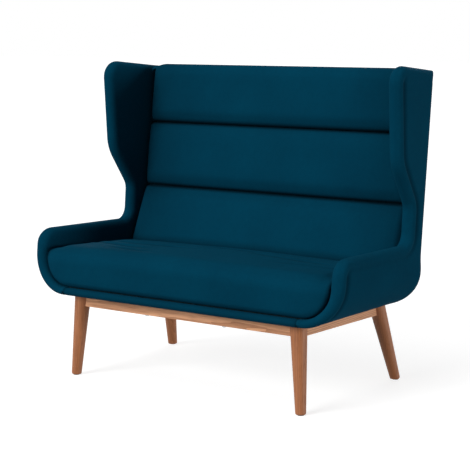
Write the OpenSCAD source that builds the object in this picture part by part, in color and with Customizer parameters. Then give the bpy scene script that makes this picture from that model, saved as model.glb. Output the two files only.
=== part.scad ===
// High back settee: padded sides that rise from arms to wings, three back pads,
// a loose crowned seat cushion and a splayed solid wood base.
// Millimetres. The front faces -Y, +Z is up, and the floor is Z = 0.
// The shell is drawn level, with its front bottom edge at the origin, and then raked back.

/* [Overall] */
// Width over the arms at the front
overall_w = 1280; // [1180:2:1400]
// Depth of the shell from the arms' feet to the back's top edge
shell_d = 680; // [660:1:710]
// Height of the wing tops above the shell's underside
wing_h = 822; // [800:1:860]
// Height of the shell's underside above the floor, at the front
base_h = 292; // [260:1:330]
// Angle by which the seat is raked back
tilt_deg = 1.2; // [0.6:0.1:2.4]

/* [Sides] */
// Thickness of the padded arms and wings
wall_t = 50; // [46:1:60]
// Thickness of the shell's floor, and of the border strip in front of it
floor_t = 26; // [25:0.5:30]
// Outer radius where a side curls under the seat
curl_r = 143; // [130:1:150]
// Inner radius where a side curls under the seat
curl_inner_r = 100; // [85:1:110]
// Distance of the seams under the seat in from the arms' outer faces
seam_inset = 155; // [150:1:170]
// Angle by which the sides close in towards the back
toe_deg = 1.8; // [1:0.1:2.6]
// Height of the arm tops above the underside
arm_h = 224; // [210:1:240]
// Distance that an arm's front leans back over its height
arm_rake = 22; // [10:1:35]
// Radius at the top front of an arm
arm_nose_r = 62; // [50:1:75]
// Radius where the arm runs into the neck
arm_root_r = 45; // [30:1:55]
// Height of the narrowest place between arm and wing
neck_h = 350; // [335:1:370]
// Depth of the side at its neck
neck_w = 143; // [130:1:156]
// Distance that the neck leans back above the arm
neck_lean = 8; // [3:1:14]
// Radius of the bend at the neck
neck_bend_r = 50; // [30:1:60]
// Height where the wing comes to its full depth
brow_h = 492; // [475:1:515]
// Depth of the wing at that height
brow_w = 259; // [244:1:270]
// Radius of the bend at that height
brow_r = 150; // [100:5:165]
// Depth of the wing along its top
wing_w = 317; // [300:1:330]
// Radius at the top front of a wing
wing_r = 58; // [45:1:70]
// Drop of the wing's top edge from front to back
wing_fall = 21; // [12:1:30]

/* [Back] */
// Angle of the outer back from the seat's upright
recline_deg = 5.3; // [4:0.1:7]
// Radius at the top of the outer back
crest_r = 25; // [18:1:32]
// Radius where the outer back runs under the seat
tail_r = 45; // [36:1:52]
// Radius of the upright rear corners
rear_corner_r = 80; // [60:1:90]
// Thickness of the padded outer back
cover_t = 10; // [7:0.5:14]
// Thickness of the plywood back board
board_t = 15; // [12:1:18]
// Distance of the back pads' ends in from the arms' outer faces, at the pads' top
pad_top_inset = 84; // [78:1:100]
// Distance of the back pads' ends in from the arms' outer faces, at the lower channel
pad_low_inset = 73; // [71:1:90]
// Height of the lower channel, measured up the back
channel_low = 345; // [330:1:370]
// Height of the upper channel, measured up the back
channel_high = 585; // [560:1:610]
// Height of the back pads' top, measured up the back
pad_top = 806; // [796:1:812]
// Thickness of the back pads at the channels
pad_edge_t = 57; // [46:1:64]
// Extra thickness of the back pads at their crown
pad_crown = 16; // [8:1:20]
// Thickness of the lower pad at its foot
pad_foot_t = 155; // [140:1:166]

/* [Seat] */
// Height of the seat cushion's side edge above the shell's floor
cushion_t = 134; // [116:1:142]
// Extra height of the cushion at its crown
cushion_crown = 12; // [6:1:18]
// Drop of the cushion's top edge from front to back
cushion_fall = 16; // [6:1:22]
// Radius of the cushion's top front edge
cushion_nose_r = 48; // [30:1:52]
// Distance that the cushion stands behind the foot of the arms
cushion_inset = 3; // [1:1:10]

/* [Base] */
// Distance of the front feet's centres in from the arms' outer faces
foot_inset = 167; // [160:1:190]
// Distance of the rear feet's centres in from the arms' outer faces
rear_foot_inset = 147; // [140:1:165]
// Distance of the front feet behind the shell's front edge
stance_front = 47; // [40:1:60]
// Distance of the rear feet ahead of the back's top edge
stance_rear = 43; // [33:1:63]
// Sideways splay of the front legs
front_splay_x = 4.2; // [2:0.1:5]
// Lengthways splay of the front legs
front_splay_y = 3.5; // [2:0.1:5]
// Sideways splay of the rear legs
rear_splay_x = 7.2; // [5:0.1:8]
// Lengthways splay of the rear legs
rear_splay_y = 15.7; // [14:0.1:18]
// Diameter of a leg at the floor
foot_d = 35; // [30:1:40]
// Diameter of a leg at the underside of the shell
leg_top_d = 57; // [52:1:62]
// Height of the rails
rail_h = 40; // [34:1:50]
// Thickness of the rails
rail_t = 24; // [20:1:28]
// Height of the floor glides
glide_h = 3; // [2:0.5:6]
// Diameter of the floor glides
glide_d = 22; // [16:1:26]

/* [Frame inside] */
// Thickness of the fabric and foam over the outside of the side panels
skin_t = 7; // [5:0.5:9]
// Thickness of the moulded plywood side panels
panel_t = 12; // [9:1:13]
// Distance that the side panels stay behind the padded rim
rim_inset = 32; // [30:1:36]
// Width of the tongue that joins a side panel to the seat frame
tongue_w = 24; // [18:1:30]
// Width of the seat frame's members
member_w = 90; // [80:1:96]
// Thickness of the bottom cloth, the webbing and the deck cloth
cloth_t = 2; // [1:0.5:2.5]
// Width of one webbing strap
strap_w = 60; // [50:1:70]
// Length and width of a corner block along the rails
block_w = 80; // [74:1:86]
// Diameter of the steel bolts
bolt_d = 8; // [6:1:8]
// Diameter of the wood dowels
dowel_d = 8; // [6:1:10]
// Length of the wood dowels
dowel_len = 40; // [34:1:44]
// Diameter of the wood screws
screw_d = 5; // [4:0.5:5.5]

/* [Hidden] */
$fn = 96;

// Counts, clearances and small sizes that no photograph shows
arc_steps = 10;
over = 2;
fit_gap = 0.3;
hole_gap = 0.2;
side_gap = 1.5;
channel_gap = 1;
rear_gap = 5;
bolt_head_d = 13;
bolt_head_h = 5;
nut_d = 14;
nut_h = 6;
washer_d = 18;
washer_t = 1.5;
tee_barrel_d = 10.6;
tee_barrel_h = 12;
tee_flange_d = 20;
tee_flange_t = 1.5;
screw_head_d = 9;
screw_head_h = 3;
glide_pin_d = 5;
glide_pin_len = 16;
foot_edge_r = 7;
foot_edge_steps = 5;
border_r = 12;
strap_count = 9;
tab_h = 25;
tab_t = 2.4;
tab_out = 4;
tab_up = 110;

// Sizes that follow from the ones above
half_w = overall_w / 2;
seam_x = half_w - seam_inset;
rear_top_h = wing_h - wing_fall;
front_y = -(shell_d * cos(tilt_deg) + rear_top_h * sin(tilt_deg)) / 2;
member_t = floor_t - 3 * cloth_t;
member_z = cloth_t;
webbing_z = member_z + member_t;
pad_back = cover_t + board_t + 2 * fit_gap;
crest_h = rear_top_h - cover_t / 2;
tail_front = rear_y(0) - member_w - tail_r / 2;
leg_len = base_h + rail_h;
fabric = "#00465a";
fabric_dark = "#00303e";
wood = "#b57a52";
plywood = "#d9bd8f";
steel = "#b8bcc0";

// Distance of the outer back from the front edge at a height in the shell
function rear_y(z) = shell_d - (rear_top_h - z) * tan(recline_deg);
// A place on the floor's axes seen from the shell's front bottom edge
function to_shell(y, z) = [
    (y - front_y) * cos(tilt_deg) - (z - base_h) * sin(tilt_deg),
    (y - front_y) * sin(tilt_deg) + (z - base_h) * cos(tilt_deg)
];
// A place up the back and forward of its outer face, in the shell
function on_back(up, out) = [
    rear_y(0) + up * sin(recline_deg) - out * cos(recline_deg),
    up * cos(recline_deg) + out * sin(recline_deg)
];
// Inner face of a side, measured from the middle of the settee
function curl_in(z) = z >= floor_t + curl_inner_r ? 0
    : curl_inner_r - sqrt(curl_inner_r ^ 2 - (floor_t + curl_inner_r - max(z, floor_t)) ^ 2);
function inner_half(y, z) = half_w - y * tan(toe_deg) - (wall_t + curl_in(z)) / cos(toe_deg);

// One corner of an outline turned into an arc, and a whole outline with rounded corners
half_turn = 180;
function unit(v) = v / norm(v);
function turn(a, b, c, r, steps) =
    let (u = unit(a - b), v = unit(c - b), half = acos(u * v) / 2)
    let (mid = b + unit(u + v) * r / sin(half))
    let (p = b + u * r / tan(half) - mid, q = b + v * r / tan(half) - mid)
    let (from = atan2(p.y, p.x), sweep = (atan2(q.y, q.x) - from + 3 * half_turn) % (2 * half_turn) - half_turn)
    r <= 0 ? [b]
        : [for (k = [0:steps]) let (at = from + sweep * k / steps) mid + r * [cos(at), sin(at)]];
function rounded(p, r, steps = arc_steps) =
    let (n = len(p))
    [for (i = [0:n - 1]) each turn(p[(i + n - 1) % n], p[i], p[(i + 1) % n], r[i], steps)];

// Outline of a side from the right, drawn in by an inset
function side_outline(inset) = rounded(
    [
        [inset, 0],
        [arm_rake + inset, arm_h - inset],
        [rear_y(neck_h) - neck_w - neck_lean + inset, arm_h - inset],
        [rear_y(neck_h) - neck_w + inset, neck_h],
        [rear_y(brow_h) - brow_w + inset, brow_h],
        [rear_y(wing_h) - wing_w + inset, wing_h - inset],
        [rear_y(rear_top_h) - inset, rear_top_h - inset],
        [rear_y(0) - inset, 0]
    ],
    [
        0, arm_nose_r - inset, arm_root_r + inset, neck_bend_r + inset,
        brow_r - inset, wing_r - inset, max(crest_r - inset, 0), max(tail_r - inset, 0)
    ]);
// Outline of the outer back from the right, open to the front
function back_outline(rear_inset, floor_inset, reach) = rounded(
    [
        [tail_front - reach, floor_inset],
        [rear_y(0) - rear_inset, floor_inset],
        [rear_y(crest_h) - rear_inset, crest_h - rear_inset],
        [rear_y(crest_h) - pad_back - reach, crest_h - rear_inset]
    ],
    [0, max(tail_r - rear_inset, 0), max(crest_r / 2 - rear_inset, 0), 0]);

// Axis of a leg: its foot and its lean
function foot(rear) = rear
    ? [half_w - rear_foot_inset, front_y + shell_d - stance_rear]
    : [half_w - foot_inset, front_y + stance_front];
function lean(rear) = rear ? [rear_splay_y, -rear_splay_x] : [-front_splay_y, -front_splay_x];
function leg_at(rear, z) = [
    foot(rear).x + z * tan(lean(rear).y) / cos(lean(rear).x),
    foot(rear).y - z * tan(lean(rear).x)
];
// Where a leg's axis crosses the middle of the rails, in the shell
rail_mid_z = -rail_h / 2;
front_mid_z = base_h - rail_h / 2 - stance_front * sin(tilt_deg);
rear_mid_z = base_h - rail_h / 2 - (shell_d - stance_rear) * sin(tilt_deg);
front_rail_y = to_shell(leg_at(false, front_mid_z).y, front_mid_z).x;
rear_rail_y = to_shell(leg_at(true, rear_mid_z).y, rear_mid_z).x;
front_leg_x = leg_at(false, front_mid_z).x;
rear_leg_x = leg_at(true, rear_mid_z).x;
side_rail_x = (front_leg_x + rear_leg_x) / 2;
leg_mid_r = foot_d / 2 + (leg_top_d - foot_d) / 2 * front_mid_z / base_h;

// Placing
module shell_place() {
    translate([0, front_y, base_h]) rotate([-tilt_deg, 0, 0]) children();
}
module flip(s) {
    mirror([s < 0 ? 1 : 0, 0, 0]) children();
}
module on_side(s) {
    flip(s) translate([half_w, 0, 0]) rotate([0, 0, toe_deg]) translate([-half_w, 0, 0]) children();
}
module along_y(from, to) {
    translate([0, to, 0]) rotate([90, 0, 0]) linear_extrude(to - from) children();
}
module along_x(from, to) {
    translate([from, 0, 0]) rotate([90, 0, 90]) linear_extrude(to - from) children();
}
module box(x, y, z) {
    translate([x[0], y[0], z[0]]) cube([x[1] - x[0], y[1] - y[0], z[1] - z[0]]);
}

// Section of the shell seen from the front: the space inside a half trough
module trough(reach, drop, r) {
    translate([reach - r, drop + r]) circle(r);
    translate([0, drop]) square([reach - r, wing_h]);
    translate([0, drop + r]) square([reach, wing_h]);
}
// Everything from a side's inner face outwards, which the middle pieces keep out of
module side_space(s) {
    seam = seam_x - fit_gap;
    reach = half_w - wall_t - fit_gap;
    floor_z = floor_t + fit_gap;
    on_side(s) along_y(-wall_t, shell_d + wall_t) polygon(concat(
        [[seam, -over], [seam, floor_z]],
        turn([seam, floor_z], [reach, floor_z], [reach, wing_h], curl_inner_r, arc_steps),
        [[reach, wing_h + over], [overall_w, wing_h + over], [overall_w, -over]]));
}
module clear_of_sides() {
    difference() {
        children();
        side_space(-1);
        side_space(1);
    }
}

// A side: the outline from the right crossed with the curled section from the front
module side_form(s) {
    on_side(s) intersection() {
        along_y(-over, shell_d + over) difference() {
            trough(half_w, 0, curl_r);
            trough(half_w - wall_t, floor_t, curl_inner_r);
            translate([-over, -over]) square([seam_x + over, wing_h]);
        }
        along_x(0, half_w + over) polygon(side_outline(0));
        rear_round(0);
    }
}
// Block with the reclined outer back and its rounded upright corner, drawn in by an inset
module rear_round(inset) {
    back_place() translate([0, 0, -tail_r])
        linear_extrude(wing_h + 2 * tail_r) {
            translate([half_w - rear_corner_r, -rear_corner_r]) circle(rear_corner_r - inset);
            translate([0, -shell_d]) square([half_w - rear_corner_r, shell_d - inset]);
            translate([0, -shell_d]) square([half_w - inset, shell_d - rear_corner_r]);
        }
}
module panel_form(s, grow) {
    on_side(s) intersection() {
        along_y(0, shell_d) difference() {
            trough(half_w - skin_t + grow, skin_t - grow, curl_r - skin_t + grow);
            trough(half_w - skin_t - panel_t - grow, skin_t + panel_t + grow, curl_r - skin_t - panel_t - grow);
            translate([-over, -over]) square([seam_x - tongue_w - grow + over, wing_h]);
        }
        along_x(0, half_w) polygon(side_outline(rim_inset - grow));
        rear_round(rim_inset - grow);
    }
}
module side_pad(s) {
    color(fabric) shell_place() difference() {
        side_form(s);
        panel_form(s, fit_gap);
    }
}
// The tongue under the seat is cut to the length of the seat frame's side members
module side_panel(s) {
    color(plywood) shell_place() difference() {
        panel_form(s, 0);
        difference() {
            on_side(s) box([0, seam_x], [0, shell_d], [0, floor_t]);
            box(
                [-half_w, half_w],
                [frame_front_end + side_gap, frame_rear_start - side_gap],
                [-over, floor_t + over]);
        }
        screws_at(s, hole_gap);
    }
}
module side_pad_left() { side_pad(-1); }
module side_pad_right() { side_pad(1); }
module side_panel_left() { side_panel(-1); }
module side_panel_right() { side_panel(1); }

// Seat frame: two cross members, two side members and a centre member
frame_front_end = floor_t + fit_gap + member_w;
frame_rear_start = rear_y(0) - tail_r / 2 - member_w;
screw_count = 4;
panel_screw_len = member_t - cloth_t;
module screws_at(s, grow) {
    on_side(s) for (i = [0:screw_count - 1])
        translate([
            seam_x - tongue_w / 2,
            frame_front_end + (frame_rear_start - frame_front_end) * (i + 0.5) / screw_count,
            member_z - grow
        ]) {
            cylinder(h = panel_screw_len + 2 * grow, d = screw_d + 2 * grow);
            cylinder(h = screw_head_h + 2 * grow, d = screw_head_d + 2 * grow);
        }
}
module frame_side(s) {
    color(plywood) shell_place() difference() {
        intersection() {
            on_side(s) box(
                [seam_x - member_w, seam_x - fit_gap], [0, shell_d], [member_z, member_z + member_t]);
            box([-half_w, half_w], [frame_front_end + fit_gap, frame_rear_start - fit_gap], [0, floor_t]);
        }
        panel_form(s, fit_gap);
        screws_at(s, hole_gap);
    }
}
module frame_left() { frame_side(-1); }
module frame_right() { frame_side(1); }
module frame_front() {
    color(plywood) shell_place() difference() {
        clear_of_sides() box(
            [-half_w, half_w], [floor_t + fit_gap, frame_front_end], [member_z, member_z + member_t]);
        tee_holes();
    }
}
module frame_rear() {
    color(plywood) shell_place() difference() {
        clear_of_sides() intersection() {
            box([-half_w, half_w], [frame_rear_start, shell_d], [member_z, member_z + member_t]);
            along_x(-half_w, half_w) polygon(back_outline(cover_t + fit_gap, member_z, over));
        }
        tee_holes();
        bracket_screws_at(hole_gap);
    }
}
module frame_centre() {
    color(plywood) shell_place() box(
        [-member_w / 2, member_w / 2],
        [frame_front_end + fit_gap, frame_rear_start - fit_gap],
        [member_z, member_z + member_t]);
}

// Straps from the front to the rear member, and the cloths above and below
module webbing() {
    pitch = 2 * (seam_x - member_w / 2) / strap_count;
    color("#2a2a2c") shell_place() for (i = [0:strap_count - 1])
        translate([(i - (strap_count - 1) / 2) * pitch, 0, 0]) box(
            [-strap_w / 2, strap_w / 2],
            [frame_front_end - member_w / 2, frame_rear_start + member_w / 2],
            [webbing_z, webbing_z + cloth_t]);
}
module deck_cloth() {
    color("#3a3d40") shell_place() clear_of_sides() box(
        [-half_w, half_w],
        [floor_t + fit_gap, frame_rear_start + member_w / 2],
        [floor_t - cloth_t, floor_t]);
}
module bottom_cloth() {
    color("#1d1e20") shell_place() difference() {
        clear_of_sides() box([-half_w, half_w], [floor_t + fit_gap, tail_front - fit_gap], [0, cloth_t]);
        base_bolts_at(bolt_d + 2 * hole_gap);
    }
}

// Padded strip in front of the seat frame, between the two seams
module front_border() {
    color(fabric) shell_place() clear_of_sides() along_x(-half_w, half_w) polygon(rounded(
        [[0, 0], [floor_t, 0], [floor_t, floor_t], [0, floor_t]],
        [border_r, 0, 0, border_r]));
}

// Outer back: a padded skin over the board that turns over its top and under the seat
module back_cover() {
    color(fabric) shell_place() clear_of_sides() difference() {
        along_x(-half_w, half_w) polygon(back_outline(0, 0, -2 * side_gap));
        along_x(-half_w - over, half_w + over) polygon(back_outline(cover_t, cloth_t, over));
        base_bolts_at(bolt_d + 2 * hole_gap);
    }
}
module back_board() {
    color(plywood) shell_place() difference() {
        clear_of_sides() intersection() {
            along_x(-half_w, half_w) polygon(back_outline(cover_t + fit_gap, cloth_t + fit_gap, shell_d / 2));
            along_x(-half_w, half_w) polygon([
                on_back(0, cover_t + fit_gap),
                on_back(wing_h, cover_t + fit_gap),
                on_back(wing_h, cover_t + fit_gap + board_t),
                on_back(0, cover_t + fit_gap + board_t)
            ]);
            box([-half_w, half_w], [0, shell_d], [member_z + member_t + fit_gap, wing_h]);
        }
        bracket_screws_at(hole_gap);
    }
}
// Steel angle brackets that stand the board on the rear member, and their screws
bracket_count = 4;
bracket_w = 40;
bracket_t = 4;
bracket_foot = 36;
bracket_leg = 60;
bracket_pitch = 2 * (seam_x - member_w) / (bracket_count - 1);
bracket_z = member_z + member_t;
bracket_y = on_back(bracket_z, pad_back - fit_gap).x;
module at_brackets() {
    for (i = [0:bracket_count - 1]) translate([(i - (bracket_count - 1) / 2) * bracket_pitch, 0, 0]) children();
}
module back_place() {
    translate([0, rear_y(0), 0]) rotate([-recline_deg, 0, 0]) children();
}
module brackets_at(grow) {
    half = bracket_w / 2 + grow;
    out = pad_back - fit_gap;
    at_brackets() intersection() {
        union() {
            box(
                [-half, half],
                [bracket_y - bracket_foot - grow, bracket_y - bracket_t / 2],
                [bracket_z, bracket_z + bracket_t + grow]);
            back_place() box(
                [-half, half], [-out - bracket_t - grow, -out + grow], [0, bracket_z + bracket_leg + grow]);
        }
        box([-half, half], [0, shell_d], [bracket_z - grow, wing_h]);
    }
}
module bracket_screws_at(grow) {
    at_brackets() for (s = [-1, 1]) {
        translate([s * bracket_w / 4, bracket_y - bracket_foot / 2, bracket_z + bracket_t]) bracket_screw(grow);
        back_place()
            translate([s * bracket_w / 4, -pad_back + fit_gap - bracket_t, bracket_z + 2 * bracket_leg / 3])
            rotate([90, 0, 0]) bracket_screw(grow);
    }
}
module bracket_screw(grow) {
    translate([0, 0, -bracket_screw_len - grow]) cylinder(h = bracket_screw_len + grow, d = screw_d + 2 * grow);
    translate([0, 0, -screw_head_h - grow]) cylinder(h = screw_head_h + 2 * grow, d = screw_head_d + 2 * grow);
}
bracket_screw_len = bracket_t + board_t - cloth_t;
module back_brackets() {
    color(steel) shell_place() difference() {
        brackets_at(0);
        bracket_screws_at(hole_gap);
    }
}
module bracket_screws() { color(steel) shell_place() bracket_screws_at(0); }
module panel_screws() { color(steel) shell_place() for (s = [-1, 1]) screws_at(s, 0); }

// Small blank tab sewn into the seam of the right rear corner
module seam_tab() {
    color("#101c33") shell_place() on_side(1)
        back_place() translate([half_w - rear_corner_r, -rear_corner_r, tab_up]) rotate([0, 0, 45])
        box([rear_corner_r + fit_gap, rear_corner_r + tab_out], [-tab_t / 2, tab_t / 2], [0, tab_h]);
}

// Back pads: a crowned front over a flat rear, with channels between the pads
pad_cols = 24;
pad_rows = 10;
crown_flat = 8;
pad_draw_in = 4;
pad_head_draw_in = 30;
function half_at(up) =
    half_w - pad_low_inset - (pad_top_inset - pad_low_inset) * (up - channel_low) / (pad_top - channel_low);
function bulge(t, power) = sqrt(max(1 - abs(t) ^ power, 0));
// Places across and up a pad, closer together near its edges
function spread(i, n) = let (t = 2 * i / n - 1) sin(90 * t);
function pad_out(u, v, foot_t, steep) =
    let (t = foot_t + (pad_edge_t - foot_t) * (v + 1) / 2)
    pad_back + t + pad_crown * bulge(u, crown_flat) * (steep && v < 0 ? 1 - v ^ 2 : bulge(v, crown_flat / 2));
function pad_point(u, v, low, high, foot_t, steep, front) =
    let (out = front ? pad_out(u, v, foot_t, steep) : pad_back, up = (low + high) / 2 + v * (high - low) / 2)
    let (drop = steep ? out * tan(recline_deg) * (1 - v) / 2 : 0)
    let (p = on_back(up - drop, out), half = half_at(up) - pad_draw_in * abs(v) ^ crown_flat)
    let (corner = high == pad_top && v > 0 ? pad_head_draw_in * v ^ (2 * crown_flat) : 0)
    let (reach = min(steep ? half_w : half - corner, inner_half(p.x, p.y) - side_gap))
    [u * reach, p.x, p.y];
module pad(low, high, foot_t, steep) {
    n = pad_cols + 1;
    rim = concat(
        [for (i = [0:pad_cols - 1]) [i, 0]],
        [for (j = [0:pad_rows - 1]) [pad_cols, j]],
        [for (i = [pad_cols:-1:1]) [i, pad_rows]],
        [for (j = [pad_rows:-1:1]) [0, j]]);
    front = [for (j = [0:pad_rows]) for (i = [0:pad_cols])
        pad_point(spread(i, pad_cols), spread(j, pad_rows), low, high, foot_t, steep, true)];
    rear = [for (p = rim)
        pad_point(spread(p[0], pad_cols), spread(p[1], pad_rows), low, high, foot_t, steep, false)];
    centre = pad_point(0, 0, low, high, foot_t, steep, false);
    first = len(front);
    count = len(rim);
    polyhedron(concat(front, rear, [centre]), concat(
        [for (j = [0:pad_rows - 1]) for (i = [0:pad_cols - 1]) each
            let (a = j * n + i, b = a + 1, c = a + n, d = c + 1)
            [[a, c, b], [b, c, d]]],
        [for (k = [0:count - 1])
            let (a = rim[k][1] * n + rim[k][0], b = rim[(k + 1) % count][1] * n + rim[(k + 1) % count][0])
            let (c = first + k, d = first + (k + 1) % count)
            each [[a, b, c], [b, d, c], [c, d, first + count]]]));
}
pad_foot_up = (floor_t + fit_gap) / cos(recline_deg);
module back_pad_lower() {
    color(fabric) shell_place() difference() {
        pad(pad_foot_up, channel_low - channel_gap / 2, pad_foot_t, true);
        brackets_at(fit_gap);
    }
}
module back_pad_middle() {
    color(fabric) shell_place()
        pad(channel_low + channel_gap / 2, channel_high - channel_gap / 2, pad_edge_t, false);
}
module back_pad_upper() {
    color(fabric) shell_place()
        pad(channel_high + channel_gap / 2, pad_top, pad_edge_t, false);
}

// Seat cushion: upright slices from left to right, each a rounded outline with a crown
slice_count = 13;
slice_end_power = 1.7;
top_steps = 7;
end_set_back = 16;
end_drop = 10;
under_lip = 9;
nose_share = 0.55;
lip_share = 0.4;
under_shares = [0.3, 0.5, 0.7];
nose_steps = 8;
lip_steps = 5;
foot_steps = 3;
cushion_half = half_w - wall_t / cos(toe_deg) - side_gap;
cushion_curl = curl_inner_r - side_gap / 2;
// Front of the lower pad at a share of its half width, which the cushion's rear face runs along
function pad_face_y(u, z) =
    let (v = 2 * (z - floor_t) / (channel_low - floor_t) - 1)
    pad_point(u, v, pad_foot_up, channel_low - channel_gap / 2, pad_foot_t, true, true).y;
function slice_floor(f) =
    let (in = (1 - abs(f)) * cushion_half)
    floor_t + fit_gap + (in >= cushion_curl ? 0 : cushion_curl - sqrt(cushion_curl ^ 2 - (cushion_curl - in) ^ 2));
function slice_top(f) =
    floor_t + cushion_t - end_drop + end_drop * bulge(f, 2 * crown_flat) + cushion_crown * (1 - f ^ 2) / 2;
function slice(f) =
    let (low = slice_floor(f), high = slice_top(f))
    let (set_back = cushion_inset + end_set_back * abs(f) ^ (3 * crown_flat))
    let (nose = min(cushion_nose_r, nose_share * (high - low)))
    let (lip = min(cushion_nose_r / 2, lip_share * (high - low)))
    let (a = [set_back + under_lip, low], b = [set_back, high])
    let (c = [pad_face_y(f, high - cushion_fall) - rear_gap, high - cushion_fall])
    let (d = [pad_face_y(f, low) - rear_gap, low])
    let (front_arc = turn(a, b, c, nose, nose_steps))
    let (rear_arc = turn(b, c, d, lip / 2, lip_steps))
    let (p = front_arc[nose_steps], q = rear_arc[0])
    concat(
        turn(d, a, b, lip, lip_steps),
        front_arc,
        [for (k = [1:top_steps - 1]) p + (q - p) * k / top_steps
            + [0, cushion_crown * (1 - f ^ 2) / 2 * sin(half_turn * k / top_steps)]],
        rear_arc,
        turn(c, d, a, lip / 4, foot_steps),
        [for (share = under_shares) d + (a - d) * share]);
module cushion_form() {
    places = [for (i = [-slice_count:slice_count])
        let (t = abs(i) / slice_count) sign(i) * (1 - (1 - t) ^ slice_end_power)];
    slices = [for (f = places) [for (p = slice(f)) [f * (cushion_half - p.x * tan(toe_deg)), p.x, p.y]]];
    n = len(slices[0]);
    last = 2 * slice_count;
    polyhedron([for (s = slices) each s], concat(
        [for (i = [0:last - 1]) for (k = [0:n - 1]) each [
            [i * n + k, i * n + (k + 1) % n, (i + 1) * n + k],
            [i * n + (k + 1) % n, (i + 1) * n + (k + 1) % n, (i + 1) * n + k]
        ]],
        [for (k = [1:n - 2]) [0, k + 1, k]],
        [for (k = [1:n - 2]) [last * n, last * n + k, last * n + k + 1]]));
}
// The core fills a pocket that opens downwards, closed by the underside panel
core_inset = 30;
core_half = seam_x - core_inset - member_w / 2;
core_top = floor_t + cushion_t - core_inset;
core_y = [cushion_inset + under_lip + core_inset, pad_face_y(0, floor_t) - rear_gap - core_inset];
panel_z = floor_t + fit_gap;
module core_block(grow) {
    box([-core_half - grow, core_half + grow], [core_y[0] - grow, core_y[1] + grow],
        [panel_z + cloth_t + (grow > 0 ? 0 : fit_gap), core_top + grow]);
}
module underside_block(grow) {
    margin = core_inset / 3;
    box([-core_half - margin - grow, core_half + margin + grow],
        [core_y[0] - margin - grow, core_y[1] + margin + grow],
        [panel_z - (grow > 0 ? over : 0), panel_z + cloth_t + grow]);
}
module seat_cushion() {
    color(fabric) shell_place() difference() {
        cushion_form();
        core_block(fit_gap);
        underside_block(fit_gap);
    }
}
module cushion_core() { color("#e9dfb4") shell_place() core_block(0); }
module cushion_underside() { color(fabric_dark) shell_place() underside_block(0); }

// Legs: turned cones with a rounded foot, cut to the underside of the shell
module leg_cone(rear, grow) {
    translate(foot(rear)) rotate([lean(rear).x, 0, 0]) rotate([0, lean(rear).y, 0])
        rotate_extrude() polygon(concat(
            [[0, 0]],
            turn([0, 0], [foot_d / 2 + grow, 0], [leg_top_d / 2 + grow, base_h], foot_edge_r, foot_edge_steps),
            [[foot_d / 2 + grow + (leg_top_d - foot_d) / 2 * leg_len / base_h, leg_len], [0, leg_len]]));
}
// The shell's outer form across the whole width, which legs and rails stop under
module above_shell() {
    along_x(-half_w, half_w) polygon(concat([[-rail_h, wing_h], [-rail_h, 0]], rounded(
        [[0, 0], [rear_y(0), 0], [rear_y(wing_h), wing_h]], [0, tail_r, 0])));
}
module leg(s, rear) {
    color(wood) difference() {
        flip(s) leg_cone(rear, 0);
        shell_place() above_shell();
        box([-half_w, half_w], [front_y - base_h, front_y + shell_d + base_h], [glide_h - base_h, glide_h]);
        shell_place() {
            dowels_at(hole_gap);
            leg_bolts_at(hole_gap);
        }
        glide_pins_at(hole_gap);
    }
}
module leg_front_left() { leg(-1, false); }
module leg_front_right() { leg(1, false); }
module leg_rear_left() { leg(-1, true); }
module leg_rear_right() { leg(1, true); }
module leg_spaces() {
    shell_unplace() for (s = [-1, 1]) for (rear = [false, true]) flip(s) leg_cone(rear, fit_gap);
}
module shell_unplace() {
    rotate([tilt_deg, 0, 0]) translate([0, -front_y, -base_h]) children();
}

// Rails between the legs, coped to the round legs
module cross_rail(y) {
    color(wood) shell_place() difference() {
        box([-side_rail_x, side_rail_x], [y - rail_t / 2, y + rail_t / 2], [-rail_h, tail_r]);
        above_shell();
        leg_spaces();
        dowels_at(hole_gap);
        base_bolts_at(bolt_d + 2 * hole_gap);
    }
}
module side_rail(s) {
    color(wood) shell_place() difference() {
        flip(s) box(
            [side_rail_x - rail_t / 2, side_rail_x + rail_t / 2], [front_rail_y, rear_rail_y], [-rail_h, 0]);
        leg_spaces();
        dowels_at(hole_gap);
    }
}
module rail_front() { cross_rail(front_rail_y); }
module rail_rear() { cross_rail(rear_rail_y); }
module rail_left() { side_rail(-1); }
module rail_right() { side_rail(1); }

// Two dowels in each joint between a rail and a leg, at shares of the rail's height
dowel_shares = [0.3, 0.7];
module dowel_pair(grow) {
    for (share = dowel_shares) translate([0, 0, -share * rail_h])
        rotate([0, 90, 0]) cylinder(h = dowel_len + 2 * grow, d = dowel_d + 2 * grow, center = true);
}
module dowels_at(grow) {
    for (s = [-1, 1]) flip(s) {
        translate([front_leg_x - leg_mid_r, front_rail_y, 0]) dowel_pair(grow);
        translate([rear_leg_x - leg_mid_r, rear_rail_y, 0]) dowel_pair(grow);
        translate([side_rail_x, front_rail_y + leg_mid_r, 0]) rotate([0, 0, 90]) dowel_pair(grow);
        translate([side_rail_x, rear_rail_y - leg_mid_r, 0]) rotate([0, 0, 90]) dowel_pair(grow);
    }
}
module dowels() { color("#d6b27e") shell_place() dowels_at(0); }

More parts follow.
